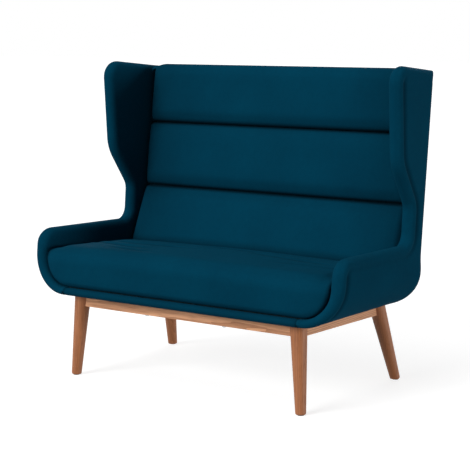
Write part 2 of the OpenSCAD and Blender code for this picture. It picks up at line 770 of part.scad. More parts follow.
// Corner blocks in the angle of the rails, each drawn to a leg by a bolt
block_x = side_rail_x - rail_t / 2 - fit_gap;
front_block_y = front_rail_y + rail_t / 2 + fit_gap;
rear_block_y = rear_rail_y - rail_t / 2 - fit_gap;
module in_corners() {
    for (s = [-1, 1]) flip(s) {
        translate([block_x, front_block_y, 0]) children();
        translate([block_x, rear_block_y, 0]) mirror([0, 1, 0]) children();
    }
}
module corner_blocks() {
    color(plywood) shell_place() difference() {
        in_corners() translate([0, 0, -rail_h]) linear_extrude(rail_h)
            polygon([[0, 0], [-block_w, 0], [0, block_w]]);
        leg_spaces();
        leg_bolts_at(hole_gap);
        base_bolts_at(bolt_d + 2 * hole_gap);
    }
}
leg_bolt_in = 14;
module leg_bolts_at(grow) {
    out = block_w / sqrt(2);
    in_corners() translate([0, 0, rail_mid_z]) rotate([0, 0, 135]) rotate([0, 90, 0]) {
        translate([0, 0, -leg_bolt_in - grow])
            cylinder(h = leg_bolt_in + out + nut_h + washer_t + over + grow, d = bolt_d + 2 * grow);
        if (grow == 0) {
            translate([0, 0, out]) cylinder(h = washer_t, d = washer_d);
            translate([0, 0, out + washer_t]) cylinder(h = nut_h, d = nut_d, $fn = 6);
        }
    }
}
module leg_bolts() { color(steel) shell_place() leg_bolts_at(0); }

// Bolts from below through the corner blocks and the front rail into nuts in the seat frame
bolt_share = [0.66, 0.17];
bolt_off = bolt_share * block_w;
front_bolt_x = seam_x / 3;
module at_base_bolts() {
    for (s = [-1, 1]) flip(s) {
        translate([block_x - bolt_off[0], front_block_y + bolt_off[1], 0]) children();
        translate([block_x - bolt_off[0], rear_block_y - bolt_off[1], 0]) children();
        translate([front_bolt_x, front_rail_y, 0]) children();
    }
}
module base_bolts_at(d) {
    at_base_bolts() translate([0, 0, -rail_h - over]) cylinder(h = rail_h + floor_t, d = d);
}
module base_bolts() {
    color(steel) shell_place() at_base_bolts() {
        translate([0, 0, -rail_h]) cylinder(h = rail_h + member_z + member_t - tee_flange_t, d = bolt_d);
        translate([0, 0, -rail_h - bolt_head_h]) cylinder(h = bolt_head_h, d = bolt_head_d);
    }
}
module tee_holes() {
    at_base_bolts() {
        cylinder(h = floor_t, d = tee_barrel_d + 2 * hole_gap);
        translate([0, 0, member_z + member_t - tee_flange_t - hole_gap])
            cylinder(h = floor_t, d = tee_flange_d + 2 * hole_gap);
    }
}
module tee_nuts() {
    top = member_z + member_t;
    color(steel) shell_place() at_base_bolts() difference() {
        union() {
            translate([0, 0, top - tee_barrel_h]) cylinder(h = tee_barrel_h, d = tee_barrel_d);
            translate([0, 0, top - tee_flange_t]) cylinder(h = tee_flange_t, d = tee_flange_d);
        }
        translate([0, 0, -over]) cylinder(h = floor_t + 2 * over, d = bolt_d + 2 * hole_gap);
    }
}

// Nailed glides under the feet
module at_feet() {
    for (s = [-1, 1]) flip(s) for (rear = [false, true]) translate(foot(rear)) children();
}
module glide_pins_at(grow) {
    at_feet() cylinder(h = glide_h + glide_pin_len + grow, d = glide_pin_d + 2 * grow);
}
module glides() {
    color("#26272a") union() {
        at_feet() cylinder(h = glide_h, d = glide_d);
        glide_pins_at(0);
    }
}

side_pad_left();
side_pad_right();
side_panel_left();
side_panel_right();
panel_screws();
front_border();
back_cover();
back_board();
back_brackets();
bracket_screws();
seam_tab();
back_pad_lower();
back_pad_middle();
back_pad_upper();
frame_front();
frame_rear();
frame_left();
frame_right();
frame_centre();
webbing();
deck_cloth();
bottom_cloth();
seat_cushion();
cushion_core();
cushion_underside();
leg_front_left();
leg_front_right();
leg_rear_left();
leg_rear_right();
rail_front();
rail_rear();
rail_left();
rail_right();
corner_blocks();
dowels();
leg_bolts();
base_bolts();
tee_nuts();
glides();
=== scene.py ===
import bmesh
import bpy
import numpy as np
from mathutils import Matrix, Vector
from mathutils.geometry import delaunay_2d_cdt


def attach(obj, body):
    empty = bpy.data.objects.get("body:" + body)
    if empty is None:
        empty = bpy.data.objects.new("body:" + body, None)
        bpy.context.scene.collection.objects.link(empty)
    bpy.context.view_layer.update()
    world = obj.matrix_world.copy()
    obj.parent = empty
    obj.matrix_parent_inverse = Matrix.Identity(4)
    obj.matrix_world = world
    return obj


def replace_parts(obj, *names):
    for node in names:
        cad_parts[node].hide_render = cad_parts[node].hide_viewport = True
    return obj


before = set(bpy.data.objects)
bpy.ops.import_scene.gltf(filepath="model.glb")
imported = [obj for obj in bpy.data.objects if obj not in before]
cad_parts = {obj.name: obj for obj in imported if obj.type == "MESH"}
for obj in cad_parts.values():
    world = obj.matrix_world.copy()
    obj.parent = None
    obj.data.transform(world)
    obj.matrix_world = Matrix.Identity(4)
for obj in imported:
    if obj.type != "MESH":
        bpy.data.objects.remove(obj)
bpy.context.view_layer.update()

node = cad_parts


# Seat frame and side panels
# Birch plywood members and moulded side panels, hidden under the padding. They are cut and glued
# flat from thin veneers, so the grain runs along the boards and the edges show fine layers.
def linear(colour):
    """sRGB hex to linear light: c / 12.92 below 0.04045, and ((c + 0.055) / 1.055) ^ 2.4 above it."""
    c = np.array([int(colour[i:i + 2], 16) for i in (1, 3, 5)]) / 255
    return (*np.where(c < 0.04045, c / 12.92, ((c + 0.055) / 1.055) ** 2.4), 1.0)


def add(tree, kind, inputs=None, **settings):
    """Adds one node: settings are its properties, inputs are plain values or sockets to link from."""
    made = tree.nodes.new(kind)
    for name, value in settings.items():
        setattr(made, name, value)
    for name, value in (inputs or {}).items():
        if isinstance(value, bpy.types.NodeSocket):
            tree.links.new(value, made.inputs[name])
        else:
            made.inputs[name].default_value = value
    return made


def new_material(name, **shader_values):
    """A material with one Principled shader, its plain values set on the shader's own sockets."""
    material = bpy.data.materials.new(name)
    material.use_nodes = True
    tree = material.node_tree
    shader = tree.nodes["Principled BSDF"]
    for socket, value in shader_values.items():
        shader.inputs[socket.replace("_", " ")].default_value = value
    return material, tree, add(tree, "ShaderNodeTexCoord").outputs["Object"]


def linked(material, **sockets):
    """The material, with its shader's colour, roughness or normal linked from sockets."""
    tree = material.node_tree
    for name, socket in sockets.items():
        tree.links.new(socket, tree.nodes["Principled BSDF"].inputs[name.replace("_", " ")])
    return material


def wear(objects, material):
    """Puts one material on each object."""
    for obj in objects:
        obj.data.materials.clear()
        obj.data.materials.append(material)


def features(mm):
    """Noise or cell scale for features of a size in millimetres: how many fit in a metre."""
    return 1000 / mm


def bands(mm):
    """Wave scale for bands of a width in millimetres: the wave turns 20 radians a unit, and one band is
    half a turn."""
    return np.pi / (20 * mm * 0.001)


def birch_plywood():
    """Rotary cut birch, sanded and raw: pale, with soft figure 110 mm long and 17 mm wide, and layers
    1.4 mm thick at the edges."""
    material, tree, place = new_material(
        "birch_plywood_sanded", Roughness=0.62, Specular_IOR_Level=0.35)
    figure_scale = (features(111), features(16.7), features(16.7))
    drawn = add(tree, "ShaderNodeMapping", {"Vector": place, "Scale": figure_scale}).outputs["Vector"]
    figure = add(tree, "ShaderNodeTexNoise",
                 {"Vector": drawn, "Scale": 1.0, "Detail": 5.0}).outputs["Fac"]
    layers = add(tree, "ShaderNodeTexWave", {"Vector": place, "Scale": bands(1.39), "Distortion": 0.4},
                 bands_direction="Z").outputs["Fac"]
    blend = add(tree, "ShaderNodeMath", {0: figure, 1: layers}, operation="MULTIPLY").outputs[0]
    tone = add(tree, "ShaderNodeMix", {0: blend, 6: linear("#cfae7c"), 7: linear("#ead3aa")},
               data_type="RGBA").outputs[2]
    bump = add(tree, "ShaderNodeBump",
               {"Height": figure, "Strength": 0.2, "Distance": 0.0003}).outputs[0]
    return linked(material, Base_Color=tone, Normal=bump)


wear([node[n] for n in ("side_panel_left", "side_panel_right", "back_board", "frame_front",
                        "frame_rear", "frame_left", "frame_right", "frame_centre", "corner_blocks")],
     birch_plywood())


# Screws, brackets, bolts and tee nuts
# Zinc plated steel, drawn and pressed. Plating leaves a cool grey with cloudy, slightly dull patches.
def zinc_plate():
    """Bright zinc on steel: metallic, with 4 mm crystal clouds in colour and roughness."""
    material, tree, place = new_material("zinc_plated_steel", Metallic=1.0)
    clouds = add(tree, "ShaderNodeTexVoronoi",
                 {"Vector": place, "Scale": features(3.85)}).outputs["Color"]
    crystal = add(tree, "ShaderNodeSeparateColor", {0: clouds}).outputs[0]
    tone = add(tree, "ShaderNodeMix", {0: crystal, 6: linear("#b4bac0"), 7: linear("#ccd1d4")},
               data_type="RGBA").outputs[2]
    rough = add(tree, "ShaderNodeMapRange", {0: crystal, 3: 0.3, 4: 0.42}).outputs[0]
    return linked(material, Base_Color=tone, Roughness=rough)


wear([node[n] for n in ("panel_screws", "back_brackets", "bracket_screws", "leg_bolts", "base_bolts",
                        "tee_nuts")], zinc_plate())


# Webbing, deck cloth and bottom cloth
# Woven elastic straps under a thin spunbond dust cloth, stapled to the seat frame. The dust cloth is
# pressed in rows of small dots, and a fine weave stands for them.
def woven(name, dark, pale, thread):
    """Plain weave: two crossed sine waves, one along and one across, in threads of a width."""
    material, tree, place = new_material(name, Roughness=0.85, Specular_IOR_Level=0.3)
    strands = {"Vector": place, "Scale": bands(thread)}
    warp = add(tree, "ShaderNodeTexWave", strands, bands_direction="X").outputs["Fac"]
    weft = add(tree, "ShaderNodeTexWave", strands, bands_direction="Y").outputs["Fac"]
    cross = add(tree, "ShaderNodeMath", {0: warp, 1: weft}, operation="MULTIPLY").outputs[0]
    tone = add(tree, "ShaderNodeMix", {0: cross, 6: linear(dark), 7: linear(pale)},
               data_type="RGBA").outputs[2]
    bump = add(tree, "ShaderNodeBump",
               {"Height": cross, "Strength": 0.5, "Distance": 0.0004}).outputs[0]
    return linked(material, Base_Color=tone, Normal=bump)


wear([node["webbing"]], woven("woven_elastic_webbing", "#1b1c1f", "#34363b", 3.0))
wear([node[n] for n in ("deck_cloth", "bottom_cloth", "cushion_underside")],
     woven("spunbond_dust_cloth", "#101214", "#23272a", 1.5))


# Cushion core
# Cut polyurethane foam, pale cream, with open cells that show as fine pits.
def cut_foam():
    """Open cells of about 1.5 mm, as pits in the bump and a slightly darker tone inside them."""
    material, tree, place = new_material(
        "cut_polyurethane_foam", Roughness=0.95, Specular_IOR_Level=0.2)
    cells = add(tree, "ShaderNodeTexVoronoi",
                {"Vector": place, "Scale": features(1.54)}).outputs["Distance"]
    tone = add(tree, "ShaderNodeMix", {0: cells, 6: linear("#cdbf8c"), 7: linear("#efe6c2")},
               data_type="RGBA").outputs[2]
    bump = add(tree, "ShaderNodeBump",
               {"Height": cells, "Strength": 0.6, "Distance": 0.001}).outputs[0]
    return linked(material, Base_Color=tone, Normal=bump)


wear([node["cushion_core"]], cut_foam())


# Legs and rails
# Solid oak, oiled. The legs are turned cones and the rails are sawn flat, so the rails show long
# arched figure and the legs straight, close lines. Oil warms the wood and leaves a low satin sheen.
def oiled_oak(name, centre, turn, shade):
    """Growth rings 7 mm apart round an axis along the piece, bent up to 21 mm by noise of 45 mm, with
    pores. Figure is drawn out 12 times along the grain, and pores 50 times. centre and turn bring the
    piece's length to the pattern's Z; the axis stands outside the board, as in flat sawn wood. shade
    gives the ground's two tones, the late wood and the pores. Real pores are 0.4 mm wide and are drawn
    1.2 mm wide, because they are too fine to show."""
    material, tree, place = new_material(name, Specular_IOR_Level=0.4)
    along = add(tree, "ShaderNodeMapping",
                {"Vector": place, "Location": centre, "Rotation": turn}).outputs["Vector"]
    slow = add(tree, "ShaderNodeMapping", {"Vector": along, "Scale": (1, 1, 0.085)}).outputs["Vector"]
    bend = add(tree, "ShaderNodeTexNoise",
               {"Vector": slow, "Scale": features(45.45), "Detail": 2.0}).outputs["Color"]
    pushed = add(tree, "ShaderNodeVectorMath", {0: bend, 1: (0.5, 0.5, 0.5)},
                 operation="SUBTRACT").outputs[0]
    sized = add(tree, "ShaderNodeVectorMath", {0: pushed, "Scale": 0.043}, operation="SCALE").outputs[0]
    bent = add(tree, "ShaderNodeVectorMath", {0: slow, 1: sized}, operation="ADD").outputs[0]
    rings = add(tree, "ShaderNodeTexWave",
                {"Vector": bent, "Scale": bands(3.57), "Distortion": 1.4, "Detail": 2.0,
                 "Detail Scale": 1.5},
                wave_type="RINGS", rings_direction="Z", wave_profile="SAW").outputs["Fac"]
    fine = add(tree, "ShaderNodeMapping", {"Vector": along, "Scale": (1, 1, 0.02)}).outputs["Vector"]
    pores = add(tree, "ShaderNodeTexNoise",
                {"Vector": fine, "Scale": features(1.22), "Detail": 2.0}).outputs["Fac"]
    pore = add(tree, "ShaderNodeMapRange", {0: pores, 1: 0.5, 2: 0.68, 3: 0.0, 4: 1.0}).outputs[0]
    broad = add(tree, "ShaderNodeTexNoise",
                {"Vector": slow, "Scale": features(71.4), "Detail": 1.0}).outputs["Fac"]
    ground = add(tree, "ShaderNodeMix", {0: broad, 6: linear(shade[0]), 7: linear(shade[1])},
                 data_type="RGBA").outputs[2]
    late = add(tree, "ShaderNodeMapRange", {0: rings, 1: 0.25, 2: 1.0, 3: 0.0, 4: 0.72}).outputs[0]
    figured = add(tree, "ShaderNodeMix", {0: late, 6: ground, 7: linear(shade[2])},
                  data_type="RGBA").outputs[2]
    weight = add(tree, "ShaderNodeMath", {0: pore, 1: 0.45}, operation="MULTIPLY").outputs[0]
    tone = add(tree, "ShaderNodeMix", {0: weight, 6: figured, 7: linear(shade[3])},
               data_type="RGBA").outputs[2]
    rough = add(tree, "ShaderNodeMapRange", {0: pore, 3: 0.46, 4: 0.66}).outputs[0]
    depth = add(tree, "ShaderNodeMath", {0: rings, 1: pore}, operation="SUBTRACT").outputs[0]
    bump = add(tree, "ShaderNodeBump",
               {"Height": depth, "Strength": 0.25, "Distance": 0.0003}).outputs[0]
    return linked(material, Base_Color=tone, Roughness=rough, Normal=bump)


# The rails get lighter tones than the legs, in part the oak's own tone and in part painted light on the
# rails, which sit in shade under the seat.
rail_shades = ("#d0946a", "#e0a880", "#8f5a36", "#744526")
leg_shades = ("#9c6039", "#a96c43", "#87502d", "#6d4023")
quarter = np.pi / 2
oak_cuts = {
    "leg_front_left": ((0.43, 0.31, 0.0), (0.0, 0.0, 0.3)),
    "leg_front_right": ((-0.53, 0.25, 0.1), (0.0, 0.0, 1.1)),
    "leg_rear_left": ((0.52, -0.36, 0.3), (0.0, 0.0, 2.0)),
    "leg_rear_right": ((-0.44, -0.22, 0.7), (0.0, 0.0, 2.9)),
    "rail_front": ((-0.236, 0.0, -0.312), (0.0, quarter, 0.0)),
    "rail_rear": ((-0.21, 0.02, 0.33), (0.0, quarter, 0.0)),
    "rail_left": ((0.47, -0.21, 0.1), (quarter, 0.0, 0.0)),
    "rail_right": ((-0.47, -0.24, 0.9), (quarter, 0.0, 0.0)),
}
for piece, (centre, turn) in oak_cuts.items():
    shades = rail_shades if "rail" in piece else leg_shades
    wear([node[piece]], oiled_oak("oiled_oak_" + piece, centre, turn, shades))


# Dowels
# Raw beech, milled round and glued in between the rails and the legs. It is plain and pale, with small
# dark flecks.
def raw_beech():
    """Flecks of about 1 mm over a plain pinkish ground."""
    material, tree, place = new_material(
        "raw_milled_beech", Roughness=0.7, Specular_IOR_Level=0.3)
    flecks = add(tree, "ShaderNodeTexNoise",
                 {"Vector": place, "Scale": features(1.11), "Detail": 1.0}).outputs["Fac"]
    tone = add(tree, "ShaderNodeMix", {0: flecks, 6: linear("#b98c5e"), 7: linear("#dcb98c")},
               data_type="RGBA").outputs[2]
    return linked(material, Base_Color=tone)


wear([node["dowels"]], raw_beech())


# Glides
# Injection moulded nylon discs nailed under the feet, black, with a fine matt texture.
def moulded_nylon():
    """Spark eroded mould texture of about 0.5 mm, whose raised grains are paler and rougher."""
    material, tree, place = new_material("moulded_nylon", Specular_IOR_Level=0.4)
    grit = add(tree, "ShaderNodeTexNoise", {"Vector": place, "Scale": features(0.5)}).outputs["Fac"]
    tone = add(tree, "ShaderNodeMix", {0: grit, 6: linear("#18191b"), 7: linear("#2b2c2f")},
               data_type="RGBA").outputs[2]
    rough = add(tree, "ShaderNodeMapRange", {0: grit, 3: 0.45, 4: 0.65}).outputs[0]
    return linked(material, Base_Color=tone, Roughness=rough)


wear([node["glides"]], moulded_nylon())


# Padded sides
# Each side is a moulded panel wrapped in foam and fulled wool cloth: a rolled rim goes round it, with
# a shallow groove behind the roll at the front, and the outer panel is sewn in along the rear corner.
def wool_felt(name, deep, pale):
    """Fulled wool cloth: fibres felt over the weave, so it is matt with a faint nap. Clumps of 2 mm,
    mottling of 14 mm and clouds of 220 mm move the tone from deep to pale, and the sheen lifts edges a
    little. Real fibres are 0.03 mm thick, too fine to show, and are drawn as clumps. A point attribute,
    from 0 to 1, darkens the tone towards near black: painted shade in seams, grooves, channels and
    folds."""
    material, tree, place = new_material(
        name, Roughness=0.95, Specular_IOR_Level=0.03, Sheen_Weight=0.035, Sheen_Roughness=0.5,
        Sheen_Tint=linear("#0c7893"))
    clumps = add(tree, "ShaderNodeTexNoise",
                 {"Vector": place, "Scale": features(2.083), "Detail": 3.0, "Roughness": 0.65,
                  "Distortion": 1.2}).outputs["Fac"]
    napped = add(tree, "ShaderNodeMapping", {"Vector": place, "Scale": (1, 1, 0.8)}).outputs["Vector"]
    mottle = add(tree, "ShaderNodeTexNoise",
                 {"Vector": napped, "Scale": features(14.29), "Detail": 4.0}).outputs["Fac"]
    cloud = add(tree, "ShaderNodeTexNoise",
                {"Vector": place, "Scale": features(222), "Detail": 2.0}).outputs["Fac"]
    mix = add(tree, "ShaderNodeMath", {0: clumps, 1: 0.55, 2: -0.275},
              operation="MULTIPLY_ADD").outputs[0]
    mix = add(tree, "ShaderNodeMath", {0: mottle, 1: 0.35, 2: mix}, operation="MULTIPLY_ADD").outputs[0]
    mix = add(tree, "ShaderNodeMath", {0: cloud, 1: 0.6, 2: mix}, operation="MULTIPLY_ADD",
              use_clamp=True).outputs[0]
    tone = add(tree, "ShaderNodeMix", {0: mix, 6: linear(deep), 7: linear(pale)},
               data_type="RGBA").outputs[2]
    # Painted shade: each padded piece carries a point attribute that mixes the tone towards near black.
    painted_shade = add(tree, "ShaderNodeAttribute", attribute_name="painted_shade").outputs["Fac"]
    tone = add(tree, "ShaderNodeMix", {0: painted_shade, 6: tone, 7: linear("#000c14")},
               data_type="RGBA").outputs[2]
    height = add(tree, "ShaderNodeMath", {0: mottle, 1: 1.5, 2: clumps},
                 operation="MULTIPLY_ADD").outputs[0]
    bump = add(tree, "ShaderNodeBump",
               {"Height": height, "Strength": 0.3, "Distance": 0.0009}).outputs[0]
    return linked(material, Base_Color=tone, Normal=bump)


felt = wool_felt("fulled_wool_felt", "#002c3f", "#003d53")

# The shell in millimetres, from its front bottom edge. Its walls stand half_w from the middle, toed in,
# and each curls under the seat to a seam, with a short flat between the seam and the curl.
half_w, shell_d, wall_t, floor_t = 640.0, 680.0, 50.0, 26.0
half_t, half_floor = wall_t / 2, floor_t / 2
seam_x, curl_r, curl_in_r = 485.0, 143.0, 100.0
flat_out, flat_in = 12.0, 5.0
flat = (flat_out + flat_in) / 2
bend_r = (curl_r + curl_in_r) / 2
curl_top = (curl_r + floor_t + curl_in_r) / 2
toe, tilt, recline = np.radians([1.8, 1.2, 5.3])
front_y, base_h = -348.313, 292.0
back_top, rear_corner_r, rear_cut = 801.0, 80.0, 5.8


def rear_y(z):
    """Outer back at a height in the shell: its depth at the top, less the recline below it."""
    return shell_d - (back_top - z) * np.tan(recline)


def to_floor(points):
    """Shell millimetres to the frame's metres: tilted back about the front bottom edge and raised."""
    x, y, z = np.moveaxis(points, -1, 0)
    placed_y = front_y + y * np.cos(tilt) + z * np.sin(tilt)
    placed_z = base_h - y * np.sin(tilt) + z * np.cos(tilt)
    return np.stack([x, placed_y, placed_z], -1) * 0.001


def smooth(edge0, edge1, x):
    """Smoothstep: 3 t^2 - 2 t^3, with t going from 0 at edge0 to 1 at edge1."""
    t = np.clip((x - edge0) / (edge1 - edge0), 0, 1)
    return t * t * (3 - 2 * t)


def arcs(before, corner, after, radius, steps):
    """Each corner turned into an arc that touches both its sides. The centre lies on the bisector at
    radius / sin(half angle), and the arc sweeps between the two touching points."""
    u = before - corner
    v = after - corner
    u = u / np.linalg.norm(u, axis=-1, keepdims=True)
    v = v / np.linalg.norm(v, axis=-1, keepdims=True)
    half = np.arccos(np.clip((u * v).sum(-1), -1, 1)) / 2
    bisector = (u + v) / np.linalg.norm(u + v, axis=-1, keepdims=True)
    centre = corner + bisector * (radius / np.sin(half))[..., None]
    p = corner + u * (radius / np.tan(half))[..., None] - centre
    q = corner + v * (radius / np.tan(half))[..., None] - centre
    start = np.arctan2(p[..., 1], p[..., 0])
    sweep = (np.arctan2(q[..., 1], q[..., 0]) - start + 3 * np.pi) % (2 * np.pi) - np.pi
    angle = start[..., None] + sweep[..., None] * np.linspace(0, 1, steps + 1)
    ring = np.stack([np.cos(angle), np.sin(angle)], -1) * radius[..., None, None]
    return centre[..., None, :] + ring


def curl(s, h, out):
    """From the seam under the seat, along the side's middle line by s, to x and z. The middle line runs
    flat, round a quarter circle and up, and its two faces come level over the next 90 mm. h goes from
    -1 on the inner face to 1 on the outer face, and out moves a point on that way, in millimetres."""
    angle = np.clip((s - flat) / bend_r, 0, np.pi / 2)
    rise = np.maximum(s - flat - bend_r * np.pi / 2, 0)
    level = (curl_r - floor_t - curl_in_r) / 2 * smooth(0, 90, rise)
    short = np.clip(s / flat, 0, 1)
    outer = np.stack([seam_x + flat_out * short + curl_r * np.sin(angle),
                      curl_r * (1 - np.cos(angle)) + rise - level], -1)
    inner = np.stack([seam_x + flat_in * short + curl_in_r * np.sin(angle),
                      floor_t + curl_in_r * (1 - np.cos(angle)) + rise + level], -1)
    half = (outer - inner) / 2
    unit = half / np.linalg.norm(half, axis=-1, keepdims=True)
    return (outer + inner) / 2 + half * h[..., None] + unit * out[..., None]


def sheet_s(z):
    """Length along the middle line of a height on the upright part."""
    return z - curl_top + flat + bend_r * np.pi / 2


def height_of(s):
    """Height of the middle line at a length along it: up to half the floor's padding on the flat, then
    up the quarter circle, then the length itself."""
    angle = np.clip((s - flat) / bend_r, 0, np.pi / 2)
    on_flat = half_floor * np.clip(s, 0, flat) / flat
    on_curl = curl_top - bend_r * np.cos(angle)
    return np.where(s < flat, on_flat, on_curl) + np.maximum(s - sheet_s(curl_top), 0)


# Corners of the side laid flat, as depth and length along the middle line: front seam, arm, foot and
# head of the neck, wing, top of the back and rear seam. The neck's and wing's depths count from the
# outer back. Then each corner's radius, and how far the groove and the rear seam reach there.
arm_lean, arm_h = 22.0, 224.0
neck_h, neck_d, neck_slope = 350.0, 143.0, 8.0
wing_foot_h, wing_foot_d = 492.0, 259.0
wing_h, wing_d = 822.0, 317.0
rear_foot = rear_y(curl_top) - sheet_s(curl_top) * np.tan(recline) - rear_cut
side_corners = np.array([
    (0, 0),
    (arm_lean, sheet_s(arm_h)),
    (rear_y(neck_h) - neck_d - neck_slope, sheet_s(arm_h)),
    (rear_y(neck_h) - neck_d, sheet_s(neck_h)),
    (rear_y(wing_foot_h) - wing_foot_d, sheet_s(wing_foot_h)),
    (rear_y(wing_h) - wing_d, sheet_s(wing_h)),
    (rear_y(back_top) - rear_cut, sheet_s(back_top)),
    (rear_foot, 0),
])
side_radii, least_r = np.array([0, 62, 45, 50, 150, 58, 12, 45.0]), 5.0
groove_share = np.array([1, 0.15, 1, 1, 1, 0, 0, 0])
rear_share = np.array([0, 0, 0, 0, 0, 0, 1, 1])
side_counts = [22, 22, 9, 12, 22, 21, 50]
turn_steps = 10


def side_ring(front_inset, rear_inset):
    """The open outline from the seam at the front, over arm and wing, to the seam at the rear. Each
    side of the polygon moves in by its own inset, a moved corner is where two moved sides cross, and
    convex radii shrink while hollow ones grow. Also each point's place, counted in polygon sides."""
    n = len(side_corners)
    ends = np.roll(side_corners, -1, axis=0)
    along = (ends - side_corners) / np.linalg.norm(ends - side_corners, axis=1, keepdims=True)
    inward = np.stack([along[:, 1], -along[:, 0]], -1)
    insets = np.array([front_inset] * 6 + [rear_inset, 0.0])
    level = (inward * side_corners).sum(1) + insets
    pairs = np.stack([np.roll(inward, 1, axis=0), inward], 1)
    moved = np.linalg.solve(pairs, np.stack([np.roll(level, 1), level], -1)[..., None])[..., 0]
    before, after = np.roll(along, 1, axis=0), along
    hollow = before[:, 0] * after[:, 1] - before[:, 1] * after[:, 0] > 0
    near = (np.roll(insets, 1) + insets) / 2
    radii = np.maximum(np.where(hollow, side_radii + near, side_radii - near), least_r)
    turned = arcs(np.roll(moved, 1, axis=0)[1:], moved[1:], np.roll(moved, -1, axis=0)[1:], radii[1:],
                  turn_steps)
    starts = np.concatenate([moved[:1], turned[:, -1]])
    parts, places = [], []
    for i in range(n - 1):
        t = np.linspace(0, 1, side_counts[i], endpoint=False)[:, None]
        parts += [starts[i] + (turned[i, 0] - starts[i]) * t, turned[i]]
        places += [np.full(side_counts[i], i), i + np.linspace(0, 1, turn_steps + 1)]
    return np.concatenate(parts), np.concatenate(places)


def wrinkles(y, s):
    """Gathers at the lower rear corner: a wave of 17 folds a turn round the corner's centre, kept to a
    band near its edge and faded out towards both straight sides."""
    edge_r, centre_s, band_w, fold_deep = 52, 66, 17, 1.5
    dy, ds = y - (rear_foot - edge_r), s - centre_s
    reach, angle = np.hypot(dy, ds), np.arctan2(ds, dy)
    band = np.exp(-((reach - edge_r) / band_w) ** 2)
    band = band * smooth(-2.0, -1.3, angle) * (1 - smooth(-0.1, 0.5, angle))
    return fold_deep * band * np.cos(17 * angle)


def place_side(points, side):
    """Depth, length and offsets of the flat side to the shell: curled, toed in about the front corner
    and, on the left, mirrored. The rear line is bent back to the recline where the side curls."""
    y, s, h, out = points
    x, z = np.moveaxis(curl(s, h, out), -1, 0)
    straight = rear_foot + np.tan(recline) * s
    y = y + (rear_y(height_of(s)) - rear_cut - straight) * np.clip(y / straight, 0, 1.1) ** 2
    tx = half_w + (x - half_w) * np.cos(toe) - y * np.sin(toe)
    ty = (x - half_w) * np.sin(toe) + y * np.cos(toe)
    return to_floor(np.stack([side * tx, ty, z], -1))


def lesser(a, b, reach=0.22):
    """The lesser of two values, rounded off where they are closer than reach."""
    t = np.clip(0.5 + 0.5 * (b - a) / reach, 0, 1)
    return b * (1 - t) + a * t - reach * t * (1 - t)


def roll(d, s):
    """Half round over the half thickness: the floor's under the seat, and the wall's above it."""
    thick = half_floor + (half_t - half_floor) * smooth(20, 200, s)
    return np.sqrt(1 - (1 - np.clip(d / thick, 0, 1)) ** 2)


tight_r = 34.0
seam_in, seam_deep, seam_w = 17.6, 1.4, 2.2


def corner(y, s):
    """Outer face near the rear line, from -1 on the inner face to 1: an 80 mm corner up the back, and a
    tighter one where the side curls under. Also the dent of the rear seam, a bell curve across it."""
    d = np.clip((rear_foot + np.tan(recline) * s - y) * np.cos(recline), 0, None)
    round_x = np.sqrt(rear_corner_r ** 2 - np.clip(rear_corner_r - rear_cut - d, 0, None) ** 2)
    arc = (round_x - (rear_corner_r - half_t)) / half_t
    tight = -1 + 2 * np.sqrt(1 - (1 - np.clip(d / tight_r, 0, 1)) ** 2)
    upright = smooth(110, 260, s)
    seam = -seam_deep * np.exp(-((d - seam_in) / seam_w) ** 2) * smooth(40, 90, s)
    return upright * arc + (1 - upright) * tight, seam * (1 - smooth(820, 850, s))


# Rings of points that run along the rim, each further in than the last, closer on the roll, in the
# groove and at the rear seam. An even lattice of triangles fills the middle.
theta = np.linspace(0, np.pi / 2, 9)
front_insets = np.concatenate([half_t * (1 - np.cos(theta)), [29, 33, 37, 41, 45, 50, 55, 60]])
rear_insets = np.array([0, 2, 4.5, 7.5, 11, 14, 16, seam_in, 19.2, 21.5, 26, 32, 39, 47, 55, 64, 72])
rings = [side_ring(a, b) for a, b in zip(front_insets, rear_insets)]
ring_points = np.array([r[0] for r in rings])
ring_share = rings[0][1]
inner_loop = ring_points[-1]
floor_y = np.linspace(inner_loop[-1, 0], inner_loop[0, 0], 48)[1:-1]
floor_line = np.stack([floor_y, np.zeros_like(floor_y)], -1)
boundary = np.concatenate([inner_loop, floor_line])
pitch = 10.0
spans = np.arange(0, 700, pitch), np.arange(0, 900, pitch)
lattice = np.stack(np.meshgrid(*spans), -1).reshape(-1, 2)
lattice[:, 0] += (lattice[:, 1] / pitch % 2) * pitch / 2
gap = np.concatenate([np.linalg.norm(part[:, None] - boundary[None], axis=2).min(1)
                      for part in np.array_split(lattice, 16)])
lattice = lattice[gap > 0.6 * pitch]
count = len(boundary)
filled = delaunay_2d_cdt([Vector(p) for p in np.concatenate([boundary, lattice])],
                         [(i, (i + 1) % count) for i in range(count)], [], 1, 1e-4)
fill_points = np.array([tuple(v) for v in filled[0]])
fill_faces = np.array([f for f in filled[2] if len(f) == 3])
used, fill_faces = np.unique(fill_faces, return_inverse=True)
fill_points, fill_faces = fill_points[used], fill_faces.reshape(-1, 3)


def grid_faces(rows, columns, wrap=False):
    """Quads over a grid of rows and columns, joined round each row where wrap is set."""
    i, j = np.meshgrid(np.arange(rows - 1), np.arange(columns if wrap else columns - 1), indexing="ij")
    k = (j + 1) % columns
    quads = [i * columns + j, i * columns + k, (i + 1) * columns + k, (i + 1) * columns + j]
    return np.stack(quads, -1).reshape(-1, 4)


